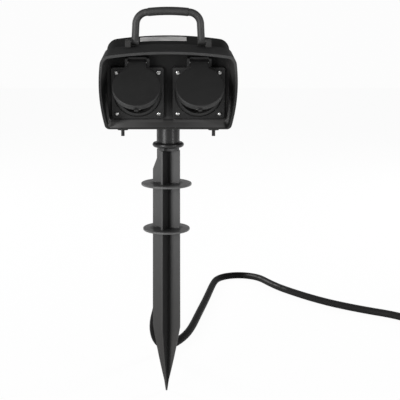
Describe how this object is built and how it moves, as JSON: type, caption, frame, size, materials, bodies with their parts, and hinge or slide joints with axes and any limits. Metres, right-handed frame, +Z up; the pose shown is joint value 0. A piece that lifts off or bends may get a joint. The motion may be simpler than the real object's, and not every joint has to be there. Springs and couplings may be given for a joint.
{
  "type": "garden power strip",
  "caption": "Black outdoor power post: hooded head with earthed sockets under hinged round lids, folding handle, finned ground spike and a rubber lead with plug.",
  "frame": {"origin": "tip of the ground spike", "axes": "+Z up along the spike, -Y towards the front where the sockets face, +X to the viewer's right"},
  "size_m": [0.5344, 0.4891, 0.4076],
  "materials": {
    "head_shell": "black moulded polypropylene, fine satin grain",
    "handle_plastic": "black moulded plastic, slightly worn satin",
    "neck_plastic": "smooth black plastic",
    "spike_plastic": "black glass-filled plastic, satin",
    "socket_plastic": "black moulded plastic, satin",
    "insert_plastic": "black socket insert",
    "lid_plastic": "black moulded plastic, fine grain",
    "gland_plastic": "black gland plastic",
    "inner_plastic": "grey nylon",
    "block_plastic": "off-white terminal plastic",
    "seal_rubber": "black soft seal",
    "cord_rubber": "black rubber cable jacket",
    "plug_rubber": "black solid rubber",
    "zinc_steel": "bright zinc-plated steel",
    "nickel_pins": "nickel-plated brass",
    "brass_contacts": "brass spring contacts",
    "live_wire": "brown insulation",
    "neutral_wire": "blue insulation",
    "earth_wire": "green and yellow insulation"
  },
  "bodies": {
    "root": {"cable_gland": "gland_plastic", "clamp_screws": "zinc_steel", "contact_sleeves_left": "brass_contacts", "contact_sleeves_right": "brass_contacts", "cord": "cord_rubber", "cord_clamp": "inner_plastic", "cord_coil": "cord_rubber", "cord_jacket": "cord_rubber", "drain_pegs": "head_shell", "earth_clip_left": "nickel_pins", "earth_clip_right": "nickel_pins", "flange_screws_left": "zinc_steel", "flange_screws_right": "zinc_steel", "flange_seal_left": "seal_rubber", "flange_seal_right": "seal_rubber", "front_housing": "head_shell", "handle_pins": "zinc_steel", "housing_screws": "zinc_steel", "housing_seal": "seal_rubber", "lid_pin_left": "zinc_steel", "lid_pin_right": "zinc_steel", "neck_tube": "neck_plastic", "plug_body": "plug_rubber", "plug_pins": "nickel_pins", "plug_relief": "plug_rubber", "rear_housing": "head_shell", "socket_body_left": "socket_plastic", "socket_body_right": "socket_plastic", "socket_insert_left": "insert_plastic", "socket_insert_right": "insert_plastic", "spike": "spike_plastic", "terminal_block": "block_plastic", "wires_earth": "earth_wire", "wires_live": "live_wire", "wires_neutral": "neutral_wire"},
    "lid_left": {"lid_left": "lid_plastic", "lid_seal_left": "seal_rubber"},
    "lid_right": {"lid_right": "lid_plastic", "lid_seal_right": "seal_rubber"},
    "handle": {"handle": "handle_plastic"}
  },
  "joints": [
    {"name": "lid_left_hinge", "type": "hinge", "parent": "root", "child": "lid_left", "pos_m": [-0.0284, -0.02933, 0.35456], "axis": [-1, 0, 0], "range_deg": [-48, 48]},
    {"name": "lid_right_hinge", "type": "hinge", "parent": "root", "child": "lid_right", "pos_m": [0.032, -0.02933, 0.35456], "axis": [-1, 0, 0], "range_deg": [-48, 48]},
    {"name": "handle_fold", "type": "hinge", "parent": "root", "child": "handle", "pos_m": [0.0018, -0.006, 0.3736], "axis": [1, 0, 0], "range_deg": [-66, 86]}
  ]
}
